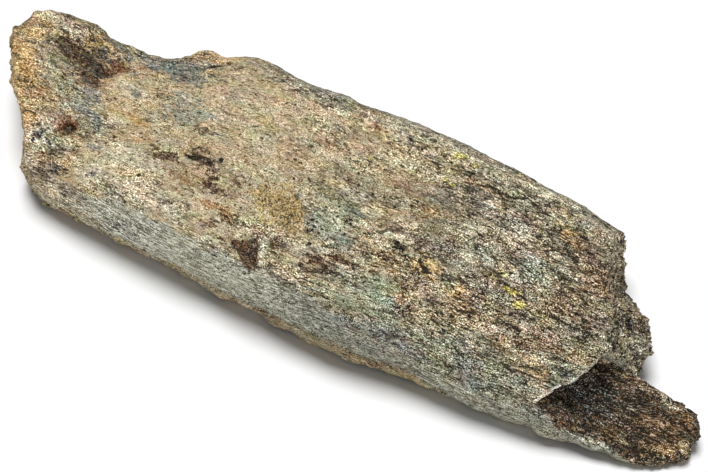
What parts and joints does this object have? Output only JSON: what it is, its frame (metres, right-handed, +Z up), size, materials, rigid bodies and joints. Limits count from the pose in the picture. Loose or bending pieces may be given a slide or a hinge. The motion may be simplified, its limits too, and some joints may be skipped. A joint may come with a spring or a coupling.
{
  "type": "fossil triceratops bone section",
  "caption": "Elongated section of weathered fossil dinosaur bone, lying on its flat broken side, with a rough snapped end and a thin tongue of inner bone standing out at the other end.",
  "frame": {"origin": "centre of the footprint box, on the surface the bone rests on", "axes": "+X along the bone's grain towards the end with the tongue, +Y towards the steep back side, +Z up out of the resting surface"},
  "size_m": [0.239, 0.0776, 0.0311],
  "materials": {
    "fossil_bone": "dull weathered mineralised bone, tan and grey with dark pores"
  },
  "bodies": {
    "root": {"bone": "fossil_bone"}
  },
  "joints": []
}
